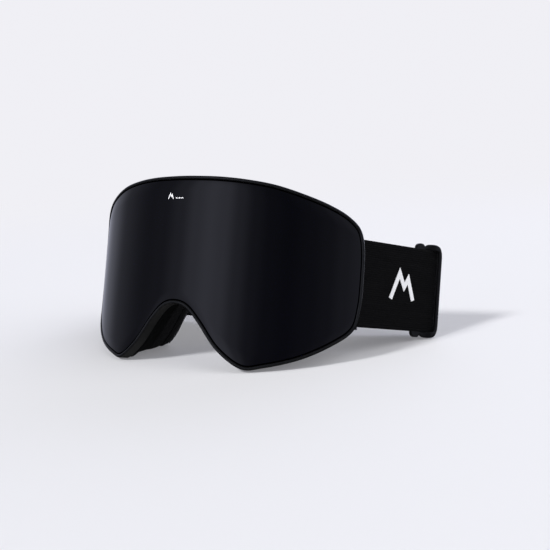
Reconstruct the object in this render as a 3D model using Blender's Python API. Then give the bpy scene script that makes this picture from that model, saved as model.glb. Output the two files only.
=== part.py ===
"""Ski goggles with a cylindrical magnetic lens, standing on a table with the elastic strap folded behind.

Every length below is in millimetres and MM turns it into metres. The goggles are drawn upright in their
own axes: X to the wearer's left, Y from the lens towards the face, Z up, with the middle of the lens
surface at Y = 0 and the lowest point of the rim at Z = 0. One empty then leans the whole set back.
"""

import math

import bmesh
import bpy
from mathutils import Matrix, Vector

MM = 0.001

# Lens and outline
LENS_RADIUS = 112.4
LEAN_BACK = math.radians(15.0)
HALF_WIDTH = 89.0
STEPS = 2
TOP_EDGE = [(0, 100), (10, 99.9), (22, 99.6), (36, 98.6), (52, 96.5),
            (68, 92.5), (82, 88), (92.5, 83), (99.5, 76.5), (102.2, 66)]
SIDE_POINT = [(102.7, 50)]
LOWER_EDGE = [(102.1, 36), (98.8, 24), (87, 15), (71, 7), (53, 1.6),
              (41, 0.2), (27, 8.8), (15.5, 22), (7.5, 29.5), (0, 31.5)]
OPENING_TOP = [(0, 86), (9, 85.9), (20, 85.5), (32, 84.4), (46, 82.3),
               (58, 79.3), (67, 75.5), (74, 71), (79, 66), (81.5, 58.5)]
OPENING_SIDE = [(82, 50)]
OPENING_LOWER = [(81.5, 42.5), (79, 35), (72.5, 28), (63, 21.5), (54, 16.5),
                 (44, 14.5), (34.5, 21), (24, 33.5), (12, 43.5), (0, 47.5)]

# Depths: h is measured from the lens surface towards its axis, deep from the lens towards the face
RIM_WIDTH = 2.2
RIM_FRONT = -0.4
RIM_BACK = 5.7
LENS_INSET = 2.6
LENS_THICK = 1.8
INNER_LENS_THICK = 0.8
CARRIER_THICK = 1.0
GASKET_BACK = 4.3
MAGNET_RADIUS = 1.5
MAGNET_THICK = 1.0
MAGNET_INSET = 4.7
FLANGE_FRONT = 6.0
FLANGE_BACK = 8.0
FACE_FLANGE = (16.8, 19.0)
FOAM_LAYERS = {
    "face_foam_base": (19.3, 29.0),
    "face_foam_soft": (29.3, 34.2),
    "face_fleece": (34.5, 36.0),
}
FACE_DEPTH = 36.0
TEMPLE_WRAP = 41.5
TEMPLE_NARROW = 0.12
SIDE_RECESS = 9.5
GAP = 0.3

# Vents: positions along the outline, counted in steps from its top middle
TOP_VENTS = (2, 5, 7, 9)
LOWER_VENTS = (28, 30)
VENT_SIZE = (11.5, 5.0, 14.0)
MAGNET_STEPS = (6, 14, 28)

# Strap
STRAP_WIDTH = 46.0
STRAP_MIDDLE = 50.0
STRAP_THICK = 1.3
LAYER_GAP = 2.6
STRAP_FLARE = math.radians(18.9)
STRAP_START = (86.0, 58.0)
STRAP_BAR_AT = -6.9
STRAP_TURN_AT = 49.0
STRAP_TURN_RADIUS = 3.5
STRAP_BACK_ROUTE = [(70, 104.6), (35, 99.4), (0.15, 97.5)]
STRAP_RISE = [(12.0, 0.0), (33.0, 0.12)]
ANCHOR_THICK = 1.5
ANCHOR_ARM = 1.7
ANCHOR_WALL_X = 75.6

# Slider
SLIDER_START = 35.0
SLIDER_END = 52.0
SLIDER_HALF_HEIGHT = 25.6
SLIDER_THICK = 2.0
SLIDER_PLATE_LENGTH = 10.0
SLIDER_END_THICK = 1.9
SLIDER_WINDOW = (3.5, 7.0)
SLIDER_BAR_LOW = 1.1
SLIDER_BAR_HIGH = 2.6
SIDE_PLAY = 0.4

# The raised mark on the webbing: the line that its middle follows, as (along, up)
BADGE_MIDDLE = (23.5, 1.0)
BADGE_LINE = [(-8.6, -7.5), (-2.6, 7.0), (1.4, -0.5), (4.2, 4.2), (8.8, -7.5)]
BADGE_WIDTH = 2.6
BADGE_LEVELS = (0.4, 0.7)


def clean_scene():
    for item in list(bpy.data.objects):
        bpy.data.objects.remove(item, do_unlink=True)


def material(name, colour, roughness, metallic=0.0):
    made = bpy.data.materials.new(name)
    made.use_nodes = True
    shader = made.node_tree.nodes["Principled BSDF"]
    shader.inputs["Base Color"].default_value = (*colour, 1.0)
    shader.inputs["Roughness"].default_value = roughness
    shader.inputs["Metallic"].default_value = metallic
    return made


def finish(name, mesh_data, look, group, smooth=35.0):
    """Turn a bmesh in millimetres into a named object whose origin lies on its group's joint axis."""
    bmesh.ops.recalc_face_normals(mesh_data, faces=mesh_data.faces)
    mesh = bpy.data.meshes.new(name)
    mesh_data.to_mesh(mesh)
    mesh_data.free()
    mesh.transform(Matrix.Scale(MM, 4) @ Matrix.Translation(-Vector(PIVOTS[group])))
    mesh.shade_smooth()
    mesh.set_sharp_from_angle(angle=math.radians(smooth))
    mesh.materials.append(material(name, *look))
    item = bpy.data.objects.new(name, mesh)
    bpy.context.collection.objects.link(item)
    item.parent = GROUPS[group]
    return item


# ---------------------------------------------------------------- outline

def closed_outline(top, side, lower):
    """A smooth closed curve through one half's points and their mirror images, clockwise from the top."""
    half = top + side + lower
    points = half + [(-x, z) for x, z in reversed(half[1:-1])]
    count = len(points)
    curve = []
    for k in range(count):
        p0, p1, p2, p3 = (Vector(points[(k + j) % count]) for j in (-1, 0, 1, 2))
        for step in range(STEPS):
            t = step / STEPS
            curve.append(0.5 * (2 * p1 + (p2 - p0) * t + (2 * p0 - 5 * p1 + 4 * p2 - p3) * t * t
                                + (3 * p1 - p0 - 3 * p2 + p3) * t ** 3))
    return curve


OUTLINE = closed_outline(TOP_EDGE, SIDE_POINT, LOWER_EDGE)
OPENING = closed_outline(OPENING_TOP, OPENING_SIDE, OPENING_LOWER)
COUNT = len(OUTLINE)
HALF = COUNT // 2


def ease(value):
    value = min(1.0, max(0.0, value))
    return value * value * (3 - 2 * value)


def inset(distance, recess=0.0):
    """The outline moved inwards by a distance, and by a further recess beside the strap."""
    moved = []
    for k, point in enumerate(OUTLINE):
        along = (OUTLINE[(k + 1) % COUNT] - OUTLINE[k - 1]).normalized()
        inward = Vector((along.y, -along.x))
        depth = distance + recess * ease((abs(point.x) - 82) / 14)
        moved.append(point + inward * depth)
    return moved


def towards_opening(share):
    return [a.lerp(b, share) for a, b in zip(OUTLINE, OPENING)]


def on_lens(point, h):
    """A point of the flat outline wrapped round the lens cylinder, h below the lens surface."""
    turn = point.x / LENS_RADIUS
    reach = LENS_RADIUS - h
    return Vector((reach * math.sin(turn), LENS_RADIUS - reach * math.cos(turn), point.y))


def on_face(point, deep):
    """The same point carried back towards the face, where the temples curve round the head."""
    front = on_lens(point, 0)
    share = deep / FACE_DEPTH
    face_y = FACE_DEPTH + TEMPLE_WRAP * (front.x / HALF_WIDTH) ** 2
    return Vector((front.x * (1 - TEMPLE_NARROW * share), front.y + share * (face_y - front.y), point.y))


# ---------------------------------------------------------------- solids

def ring_solid(rings):
    """A closed tube: each ring is a closed line of points, and the last ring joins the first again."""
    bm = bmesh.new()
    rows = [[bm.verts.new(p) for p in ring] for ring in rings]
    for row, after in zip(rows, rows[1:] + rows[:1]):
        for k in range(len(row)):
            n = (k + 1) % len(row)
            bm.faces.new((row[k], row[n], after[n], after[k]))
    return bm


def strip_solid(rings, first, last):
    """The stretch of such a tube between two steps of the outline, with its ends closed."""
    return tube_solid([[ring[k % COUNT] for ring in rings] for k in range(first, last + 1)])


def sheet_solid(edge, front_h, back_h, rows=4):
    """A curved plate that fills the outline: columns run from the upper edge to the lower one."""
    bm = bmesh.new()
    quarter = HALF // 2
    sides = []
    for h in (front_h, back_h):
        columns = []
        for k in range(-quarter, quarter + 1):
            upper, lower = edge[k % COUNT], edge[(HALF - k) % COUNT]
            if abs(k) == quarter:
                columns.append([bm.verts.new(on_lens(upper, h))] * (rows + 1))
            else:
                line = [upper.lerp(lower, r / rows) for r in range(rows + 1)]
                columns.append([bm.verts.new(on_lens(point, h)) for point in line])
        for left, right in zip(columns, columns[1:]):
            for r in range(rows):
                corners = list(dict.fromkeys((left[r], right[r], right[r + 1], left[r + 1])))
                bm.faces.new(corners)
        sides.append([c[0] for c in columns] + [c[-1] for c in reversed(columns[1:-1])])
    front, back = sides
    for k in range(len(front)):
        n = (k + 1) % len(front)
        bm.faces.new((front[k], front[n], back[n], back[k]))
    return bm


def prism(outline, place, low, high):
    """A flat outline of (a, b) points drawn out from low to high; place(a, b, c) puts each point in space."""
    bm = bmesh.new()
    ends = [[bm.verts.new(place(a, b, c)) for a, b in outline] for c in (low, high)]
    for k in range(len(outline)):
        n = (k + 1) % len(outline)
        bm.faces.new((ends[0][k], ends[0][n], ends[1][n], ends[1][k]))
    bm.faces.new(ends[0])
    bm.faces.new(ends[1])
    bm.normal_update()
    bmesh.ops.triangulate(bm, faces=[f for f in bm.faces if len(f.verts) > 4])
    return bm


def band_solid(path, thick, place, low, high):
    """A band of even thickness along a path of 2-D points, as wide as from low to high."""
    cuts = []
    for k, point in enumerate(path):
        before, after = path[max(k - 1, 0)], path[min(k + 1, len(path) - 1)]
        along = (after - before).normalized()
        bend = (point - before).normalized().dot(along) if 0 < k < len(path) - 1 else 1.0
        side = Vector((-along.y, along.x)) * thick / 2 / max(bend, 0.5)
        corners = ((point + side, low), (point - side, low), (point - side, high), (point + side, high))
        cuts.append([place(corner.x, corner.y, height) for corner, height in corners])
    return tube_solid(cuts)


def tube_solid(cuts):
    """A solid through a row of cross-sections, with both ends closed."""
    bm = bmesh.new()
    rows = [[bm.verts.new(p) for p in cut] for cut in cuts]
    for row, after in zip(rows, rows[1:]):
        for k in range(len(row)):
            n = (k + 1) % len(row)
            bm.faces.new((row[k], row[n], after[n], after[k]))
    bm.faces.new(rows[0])
    bm.faces.new(rows[-1])
    return bm


def disc(centre, axis, radius, thick, sides=14):
    bm = bmesh.new()
    bmesh.ops.create_cone(bm, cap_ends=True, segments=sides, radius1=radius, radius2=radius, depth=thick)
    turn = Vector((0, 0, 1)).rotation_difference(axis).to_matrix().to_4x4()
    bm.transform(Matrix.Translation(centre) @ turn)
    return bm


def cut_with(item, tool, how="DIFFERENCE", solver="EXACT"):
    """Cut or join item with a helper object, which stays hidden as a wire guide."""
    change = item.modifiers.new(tool.name, "BOOLEAN")
    change.operation = how
    change.solver = solver
    change.object = tool
    tool.hide_render = True
    tool.display_type = "WIRE"


# ---------------------------------------------------------------- looks

SATIN_BLACK = ((0.018, 0.019, 0.021), 0.38)
SOFT_BLACK = ((0.014, 0.016, 0.016), 0.62)
LENS_BLACK = ((0.010, 0.011, 0.014), 0.12)
CLEAR_GREY = ((0.10, 0.10, 0.11), 0.15)
FOAM_BLACK = ((0.020, 0.020, 0.021), 0.95)
FLEECE_BLACK = ((0.028, 0.028, 0.030), 1.0)
WEBBING_BLACK = ((0.017, 0.017, 0.018), 0.9)
SLIDER_BLACK = ((0.020, 0.020, 0.022), 0.3)
STEEL = ((0.55, 0.55, 0.57), 0.3, 1.0)
WHITE = ((0.82, 0.82, 0.84), 0.5)


# ---------------------------------------------------------------- frame

def build_rim():
    section = [(0.6, RIM_FRONT), (RIM_WIDTH - 0.6, RIM_FRONT), (RIM_WIDTH, RIM_FRONT + 0.6),
               (RIM_WIDTH, RIM_BACK), (0.0, RIM_BACK), (0.0, RIM_FRONT + 0.6)]
    rings = [[on_lens(p, h) for p in inset(d)] for d, h in section]
    finish("front_rim", ring_solid(rings), SATIN_BLACK, "frame")


def build_shell():
    """The soft frame: a front flange behind the lens, a wall with vents and a flange for the face foam."""
    flange_front, flange_back = FACE_FLANGE
    front_edge = towards_opening(0.76)
    face_edge = towards_opening(0.9)
    rings = [
        [on_lens(p, FLANGE_FRONT) for p in inset(0.8)],
        [on_lens(p, FLANGE_FRONT) for p in front_edge],
        [on_lens(p, FLANGE_BACK) for p in front_edge],
        [on_lens(p, FLANGE_BACK) for p in inset(4.2, SIDE_RECESS)],
        [on_face(p, flange_front) for p in inset(6.6, 0.75 * SIDE_RECESS)],
        [on_face(p, flange_front) for p in face_edge],
        [on_face(p, flange_back) for p in face_edge],
        [on_face(p, flange_back) for p in inset(4.8, 0.75 * SIDE_RECESS)],
        [on_lens(p, FLANGE_BACK) for p in inset(2.2, SIDE_RECESS)],
        [on_lens(p, FLANGE_BACK) for p in inset(0.8)],
    ]
    shell = finish("frame_shell", ring_solid(rings), SOFT_BLACK, "frame")
    middle = (FLANGE_BACK + flange_front) / 2
    for kind, steps in (("top", TOP_VENTS), ("lower", LOWER_VENTS)):
        for step in steps:
            for side in (1, -1):
                tool = vent_tool(f"vent_{kind}_{step}_{side}", side * step, middle)
                cut_with(shell, tool)


def vent_tool(name, step, deep):
    """A rounded box that cuts one vent slot through the frame's wall."""
    centre = on_face(OUTLINE[step % COUNT], deep)
    turn = OUTLINE[step % COUNT].x / LENS_RADIUS
    bm = bmesh.new()
    bmesh.ops.create_cube(bm, size=1.0)
    bmesh.ops.scale(bm, vec=VENT_SIZE, verts=bm.verts)
    upright = [e for e in bm.edges if abs(e.verts[0].co.z - e.verts[1].co.z) > 1]
    bmesh.ops.bevel(bm, geom=upright, offset=2.0, segments=3, profile=0.5, affect="EDGES")
    bm.transform(Matrix.Translation(centre) @ Matrix.Rotation(turn, 4, "Z"))
    return finish(name, bm, SOFT_BLACK, "frame")


def build_vent_foam():
    wall = [inset(4.8), inset(7.2), inset(8.6), inset(6.2)]
    depths = [("lens", FLANGE_BACK + 0.8), ("face", FACE_FLANGE[0] - 0.6),
              ("face", FACE_FLANGE[0] - 0.6), ("lens", FLANGE_BACK + 0.8)]
    rings = [[(on_lens if kind == "lens" else on_face)(p, depth) for p in edge]
             for edge, (kind, depth) in zip(wall, depths)]
    for name, first, last in (("vent_foam_top", -11, 11), ("vent_foam_lower_left", 27, 31),
                              ("vent_foam_lower_right", 49, 53)):
        finish(name, strip_solid(rings, first, last), FOAM_BLACK, "frame")


def build_face_foam():
    """Three foam layers that follow the face: their outer edge draws in towards the face."""
    start = FACE_FLANGE[1]
    for name, (near, far) in FOAM_LAYERS.items():
        rings = []
        for deep, edge in ((near, 1.0), (far, 1.0), (far, 0.0), (near, 0.0)):
            share = (deep - start) / (FACE_DEPTH - start)
            outer = inset(5.0 + 4.0 * share, 0.75 * SIDE_RECESS * (1 - 0.8 * share))
            inner = towards_opening(1.0 - 0.04 * share)
            rings.append([on_face(p, deep) for p in (outer if edge else inner)])
        look = FLEECE_BLACK if name == "face_fleece" else FOAM_BLACK
        finish(name, ring_solid(rings), look, "frame", smooth=50)


def build_magnets():
    """Pairs of disc magnets, one on the lens and one on the frame, that meet face to face."""
    line = inset(MAGNET_INSET)
    lens_h = LENS_THICK + CARRIER_THICK + 2 * GAP
    frame_h = lens_h + MAGNET_THICK + GAP
    number = 0
    for step in MAGNET_STEPS:
        for side in (1, -1):
            number += 1
            point = line[(side * step) % COUNT]
            turn = point.x / LENS_RADIUS
            axis = Vector((math.sin(turn), -math.cos(turn), 0))
            for name, group, h in (("lens_magnet", "lens", lens_h), ("frame_magnet", "frame", frame_h)):
                centre = on_lens(point, h + MAGNET_THICK / 2)
                bm = disc(centre, axis, MAGNET_RADIUS, MAGNET_THICK)
                finish(f"{name}_{number}", bm, STEEL, group)


# ---------------------------------------------------------------- lens

def build_lens():
    finish("lens_outer", sheet_solid(inset(LENS_INSET), 0, LENS_THICK), LENS_BLACK, "lens")
    carrier_front = LENS_THICK + GAP
    flat_ring("lens_carrier", 3.0, 6.2, carrier_front, carrier_front + CARRIER_THICK, SATIN_BLACK)
    flat_ring("lens_gasket", 6.6, 9.4, carrier_front, GASKET_BACK, FOAM_BLACK)
    inner_front = GASKET_BACK + GAP
    plate = sheet_solid(inset(6.6), inner_front, inner_front + INNER_LENS_THICK)
    finish("lens_inner", plate, CLEAR_GREY, "lens")


def flat_ring(name, outer, inner, front, back, look):
    section = [(outer, front), (inner, front), (inner, back), (outer, back)]
    finish(name, ring_solid([[on_lens(p, h) for p in inset(d)] for d, h in section]), look, "lens")


# ---------------------------------------------------------------- strap

def strap_place(side):
    """Axes of one strap side: a runs back along the webbing, n points outwards, c is the height."""
    along = Vector((math.sin(STRAP_FLARE), math.cos(STRAP_FLARE)))
    out = Vector((along.y, -along.x))
    start = Vector(STRAP_START)

    def place(a, n, c):
        flat = start + along * a + out * n
        return Vector((side * flat.x, flat.y, c))

    return place


def arc(centre, radius, start, end, steps):
    angles = [start + (end - start) * k / steps for k in range(steps + 1)]
    return [Vector(centre) + radius * Vector((math.cos(angle), math.sin(angle))) for angle in angles]


def layer_middle():
    """The n of the outer layer's middle, of the bar between the layers, and of the inner layer's middle."""
    outer = -STRAP_THICK / 2
    inner = outer - STRAP_THICK - LAYER_GAP
    return outer, (outer + inner) / 2, inner


def build_strap(side, name):
    outer, bar, inner = layer_middle()
    place = strap_place(side)
    low, high = STRAP_MIDDLE - STRAP_WIDTH / 2, STRAP_MIDDLE + STRAP_WIDTH / 2
    loop = arc((STRAP_BAR_AT, bar), (outer - inner) / 2, math.radians(90), math.radians(270), 8)
    turn_centre = (STRAP_TURN_AT, outer + STRAP_RISE[-1][1] - STRAP_TURN_RADIUS)
    path = [Vector((SLIDER_START + 9.0, inner))] + loop[::-1]
    path += [Vector((a, outer + rise)) for a, rise in STRAP_RISE]
    path += arc(turn_centre, STRAP_TURN_RADIUS, math.radians(90), math.radians(-26), 8)
    layers = band_solid(path, STRAP_THICK, place, low, high)
    group = f"strap_{name}"
    finish(f"strap_front_{name}", layers, WEBBING_BLACK, group)
    finish(f"strap_back_{name}", back_half(side, path[-1], path[-2], low, high), WEBBING_BLACK, group)


def back_half(side, start, before, low, high):
    """Half of the webbing behind the head, from the folded end at the slider to the middle of the back."""
    place = strap_place(1)
    first, second = (place(p.x, p.y, 0).to_2d() for p in (before, start))
    lead = (second - first).normalized()
    keys = [second + lead * GAP, second + lead * 9] + [Vector(p) for p in STRAP_BACK_ROUTE]
    ahead = [keys[0] - lead * 9] + keys + [Vector((-35, STRAP_BACK_ROUTE[1][1]))]
    path = []
    for k in range(1, len(ahead) - 2):
        p0, p1, p2, p3 = ahead[k - 1:k + 3]
        for step in range(5):
            t = step / 5
            path.append(0.5 * (2 * p1 + (p2 - p0) * t + (2 * p0 - 5 * p1 + 4 * p2 - p3) * t * t
                               + (3 * p1 - p0 - 3 * p2 + p3) * t ** 3))
    path.append(keys[-1])
    return band_solid(path, STRAP_THICK, lambda x, y, z: Vector((side * x, y, z)), low, high)


def build_anchor(side, name):
    """The bar that the webbing loops round, with an arm at each end that joins it to the frame."""
    _, bar, _ = layer_middle()
    centre = strap_place(1)(STRAP_BAR_AT, bar, 0)
    half_thick = ANCHOR_THICK / 2
    half_in = STRAP_WIDTH / 2 + SIDE_PLAY
    half_out = half_in + ANCHOR_ARM
    outer_x, inner_x, wall_x = centre.x + half_thick, centre.x - half_thick, ANCHOR_WALL_X
    section = [(wall_x, half_out), (outer_x, half_out), (outer_x, -half_out), (wall_x, -half_out),
               (wall_x, -half_in), (inner_x, -half_in), (inner_x, half_in), (wall_x, half_in)]

    def place(x, z, y):
        return Vector((side * x, y, STRAP_MIDDLE + z))

    bm = prism(section, place, centre.y - half_thick, centre.y + half_thick)
    finish(f"strap_anchor_{name}", bm, SATIN_BLACK, "frame")


def rounded_plate(start, end, half, near_radius, far_radius):
    """Half-height outline of a plate with rounded corners, as (a, c) points."""
    corners = [((start + near_radius, half - near_radius), near_radius, 180, 90),
               ((end - far_radius, half - far_radius), far_radius, 90, 0),
               ((end - far_radius, -half + far_radius), far_radius, 0, -90),
               ((start + near_radius, -half + near_radius), near_radius, -90, -180)]
    points = []
    for centre, radius, first, last in corners:
        points += arc(centre, radius, math.radians(first), math.radians(last), 5)
    return [tuple(p) for p in points]


def slider_end_section(low, high):
    """The side outline of a slider's end: a tail between the layers that steps up to a rounded bump."""
    end, top = SLIDER_END, SLIDER_BAR_HIGH
    return [(end - 9, low), (end - 1.6, low), (end, low + 1.6), (end, top - 1), (end - 1, top),
            (end - 3.4, top), (end - 4.4, top - 1), (end - 4.4, high), (end - 9, high)]


def slider_far_bar_section():
    """The section of the bar that the outer layer passes under, with its outer corner taken off."""
    near, far, low, top = SLIDER_END - 3.2, SLIDER_END - 0.3, SLIDER_BAR_LOW, SLIDER_BAR_HIGH - 0.2
    return [(near, low), (far, low), (far, top - 0.7), (far - 0.9, top), (near, top)]


def build_slider(side, name):
    """A three-bar slider: a plate between the two layers, and a far bar that the outer layer passes under."""
    place = strap_place(side)
    _, middle, _ = layer_middle()
    low, high = middle - SLIDER_THICK / 2, middle + SLIDER_THICK / 2
    group = f"slider_{name}"
    inside = STRAP_WIDTH / 2 + SIDE_PLAY

    def flat(a, c, n):
        return place(a, n, STRAP_MIDDLE + c)

    def upright(a, n, c):
        return place(a, n, STRAP_MIDDLE + c)

    def tool(part, outline, where, first, last):
        return finish(f"slider_{part}_{name}", prism(outline, where, first, last), SLIDER_BLACK, group)

    outline = rounded_plate(SLIDER_START, SLIDER_START + SLIDER_PLATE_LENGTH, SLIDER_HALF_HEIGHT, 4.0, 1.0)
    body = finish(f"slider_{name}", prism(outline, flat, low, high), SLIDER_BLACK, group)
    section = slider_end_section(low + 0.2, high - 0.2)
    for added in (tool("upper", section, upright, inside, inside + SLIDER_END_THICK),
                  tool("lower", section, upright, -inside - SLIDER_END_THICK, -inside),
                  tool("bar", slider_far_bar_section(), upright, -inside - 1, inside + 1)):
        cut_with(body, added, "UNION", "MANIFOLD")
    near, far = (SLIDER_START + distance for distance in SLIDER_WINDOW)
    opening = [(near, 2 - inside), (far, 2 - inside), (far, inside - 2), (near, inside - 2)]
    cut_with(body, tool("window", opening, flat, low - 0.9, high + 0.9), solver="MANIFOLD")


def outline_of_line(line, width):
    """The outline of a bent line of even width, with square ends and pointed corners."""
    points = [Vector(p) for p in line]
    sides = ([], [])
    for k, point in enumerate(points):
        before = (point - points[k - 1]).normalized() if k else None
        after = (points[k + 1] - point).normalized() if k < len(points) - 1 else before
        before = before or after
        along = (before + after).normalized()
        reach = Vector((-along.y, along.x)) * width / 2 / along.dot(after)
        sides[0].append(tuple(point + reach))
        sides[1].append(tuple(point - reach))
    return sides[0] + sides[1][::-1]


def build_badge():
    """A raised mark on the webbing: a plain twin-peak line."""
    place = strap_place(1)
    middle_a, middle_c = BADGE_MIDDLE

    def flat(a, c, n):
        return place(middle_a + a, n, STRAP_MIDDLE + middle_c + c)

    bm = prism(outline_of_line(BADGE_LINE, BADGE_WIDTH), flat, *BADGE_LEVELS)
    finish("strap_badge", bm, WHITE, "strap_left")


# ---------------------------------------------------------------- assembly

def joint_points():
    """The point on each moving group's joint axis, which becomes the origin of its pieces."""
    points = {"frame": (0, 0, 0), "lens": (0, 0, STRAP_MIDDLE)}
    _, middle, _ = layer_middle()
    for side, name in ((1, "left"), (-1, "right")):
        points[f"strap_{name}"] = tuple(strap_place(side)(STRAP_BAR_AT, middle, STRAP_MIDDLE))
        points[f"slider_{name}"] = tuple(strap_place(side)(SLIDER_START, middle, STRAP_MIDDLE))
    return points


def make_groups():
    root = bpy.data.objects.new("goggles", None)
    bpy.context.collection.objects.link(root)
    groups = {}
    for name, point in PIVOTS.items():
        group = bpy.data.objects.new(f"{name}_joint", None)
        bpy.context.collection.objects.link(group)
        group.parent = root
        group.location = Vector(point) * MM
        groups[name] = group
    return root, groups


def stand_on_table(root):
    """Lean the goggles back and set the lowest point on Z = 0, centred over the origin."""
    root.rotation_euler.x = -LEAN_BACK
    bpy.context.view_layer.update()
    graph = bpy.context.evaluated_depsgraph_get()
    corners = []
    for item in bpy.data.objects:
        if item.type == "MESH" and not item.hide_render:
            solid = item.evaluated_get(graph)
            corners += [item.matrix_world @ v.co for v in solid.data.vertices]
    low = [min(c[k] for c in corners) for k in range(3)]
    high = [max(c[k] for c in corners) for k in range(3)]
    root.location = (-(low[0] + high[0]) / 2, -(low[1] + high[1]) / 2, -low[2])
    bpy.context.view_layer.update()


clean_scene()
PIVOTS = joint_points()
ROOT, GROUPS = make_groups()
build_rim()
build_shell()
build_vent_foam()
build_face_foam()
build_lens()
build_magnets()
for strap_side, strap_name in ((1, "left"), (-1, "right")):
    build_anchor(strap_side, strap_name)
    build_strap(strap_side, strap_name)
    build_slider(strap_side, strap_name)
build_badge()
stand_on_table(ROOT)
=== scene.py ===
import math

import bmesh
import bpy
from mathutils import Matrix, Vector, noise


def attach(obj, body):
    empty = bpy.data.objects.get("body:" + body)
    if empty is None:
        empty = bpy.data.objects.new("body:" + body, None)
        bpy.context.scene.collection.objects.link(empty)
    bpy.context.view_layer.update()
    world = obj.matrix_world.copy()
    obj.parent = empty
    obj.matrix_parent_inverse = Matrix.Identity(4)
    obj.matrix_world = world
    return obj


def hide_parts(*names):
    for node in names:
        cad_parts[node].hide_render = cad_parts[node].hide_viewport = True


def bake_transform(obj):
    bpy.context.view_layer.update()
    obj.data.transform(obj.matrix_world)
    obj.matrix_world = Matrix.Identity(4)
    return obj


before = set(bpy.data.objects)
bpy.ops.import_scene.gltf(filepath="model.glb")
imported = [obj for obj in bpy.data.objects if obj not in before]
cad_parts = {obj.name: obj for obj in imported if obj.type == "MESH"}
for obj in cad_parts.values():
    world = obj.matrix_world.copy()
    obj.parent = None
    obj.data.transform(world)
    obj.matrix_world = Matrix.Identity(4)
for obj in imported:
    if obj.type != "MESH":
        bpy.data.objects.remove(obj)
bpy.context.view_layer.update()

# Lengths below are millimetres in the goggles' own axes: X to the wearer's left, Y from the lens to the
# face, Z up. WORLD turns them into the frame's metres, with the goggles leaning back on the table.
STAND = Vector((0.0, -0.0652507, 0.004037))
LEAN_BACK = math.radians(15.0)
WORLD = Matrix.Translation(STAND) @ Matrix.Rotation(-LEAN_BACK, 4, "X") @ Matrix.Scale(0.001, 4)

LENS_RADIUS = 112.4
HALF_WIDTH = 89.0
FACE_DEPTH = 36.0
FACE_CURVE = 41.5
FACE_TAPER = 0.12
STEPS = 8
TOP_EDGE = [(0, 100), (10, 99.9), (22, 99.6), (36, 98.6), (52, 96.5),
            (68, 92.5), (82, 88), (92.5, 83), (99.5, 76.5), (102.2, 66)]
SIDE_POINT = [(102.7, 50)]
LOWER_EDGE = [(102.1, 36), (98.8, 24), (87, 15), (71, 7), (53, 1.6),
              (41, 0.2), (27, 8.8), (15.5, 22), (7.5, 29.5), (0, 31.5)]
OPENING_TOP = [(0, 86), (9, 85.9), (20, 85.5), (32, 84.4), (46, 82.3),
               (58, 79.3), (67, 75.5), (74, 71), (79, 66), (81.5, 58.5)]
OPENING_SIDE = [(82, 50)]
OPENING_LOWER = [(81.5, 42.5), (79, 35), (72.5, 28), (63, 21.5), (54, 16.5),
                 (44, 14.5), (34.5, 21), (24, 33.5), (12, 43.5), (0, 47.5)]
# How far the frame and its foam draw in at each side to leave room for the strap, and where that starts
SIDE_RECESS = 9.5
FOAM_RECESS = 7.125
RECESS_START = 82.0
RECESS_REACH = 14.0
# Depths are measured from the lens's front face, and widths inwards from the outline
RIM_WIDTH = 1.75
RIM_FRONT, RIM_BACK = -0.4, 5.7
LENS_EDGE = 2.27
FLANGE_EDGE = 0.8
WALL_FRONT_OUT, WALL_FRONT_IN = 2.2, 4.2
WALL_BACK_OUT, WALL_BACK_IN = 4.8, 6.6
FLANGE_FRONT, FLANGE_BACK = 6.0, 8.0
FACE_FLANGE_FRONT, FACE_FLANGE_BACK = 16.8, 19.0
FOAM_WIDTH = 11.0
# Inner edges of the two flanges, as shares of the way to the face opening
FRONT_LEDGE, FACE_LEDGE = 0.76, 0.9
# Steps along the outline, from its top middle, at which the frame has its vents
TOP_VENTS = (2, 5, 7, 9)
LOWER_VENTS = (28, 30)
VENT_SIZE = (11.5, 5.0, 14.0)
VENT_CORNER = 2.0
VENT_DEPTH = 12.4
# First and last step of each strip of foam behind the vents
VENT_PADS = (("top", -11, 11), ("lower_left", 27, 31), ("lower_right", 49, 53))
VENT_PAD_THICK, VENT_PAD_DEPTH, VENT_PAD_ROUND = 2.4, 7.4, 0.5
VENT_PAD_FRONT, VENT_PAD_BACK = (4.8, 8.8), (6.2, 16.2)

# The strap's front has axes of its own: a along it, n out from it and c across it
STRAP_WIDTH = 46.0
STRAP_MIDDLE = 50.0
STRAP_THICK = 1.3
OUTER_N, BAR_N, INNER_N = -0.65, -2.6, -4.55
STRAP_FLARE = math.radians(18.9)
STRAP_START = Vector((86.0, 58.0))
STRAP_BAR_AT = -6.9
STRAP_RISE = [(12.0, 0.0), (33.0, 0.12)]
STRAP_TURN_AT = 49.4
STRAP_TURN_RADIUS = 3.5
STRAP_BACK_ROUTE = [(70, 104.6), (35, 99.4), (0.0, 97.5)]
INNER_LAYER_END = 44.0
# Steps along the back webbing from the strap's turn, where full swing ends and where the grip starts
SWING_POINT, GRIP_POINT = 6, 14
RIB_HEIGHT = 0.085
SELVEDGE, SELVEDGE_GROOVE = 1.7, 0.16
WEBBING_ROUND = 0.35
ANCHOR_WALL_X = 75.6
ANCHOR_THICK = 1.5
ANCHOR_ARM = 1.7
ANCHOR_PLAY = 0.4
GRIP_ROWS = (-11.0, 0.0, 11.0)
GRIP_WAVE, GRIP_WAVE_LENGTH = 2.2, 16.0
GRIP_HALF, GRIP_RISE = 0.85, 0.45
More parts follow.
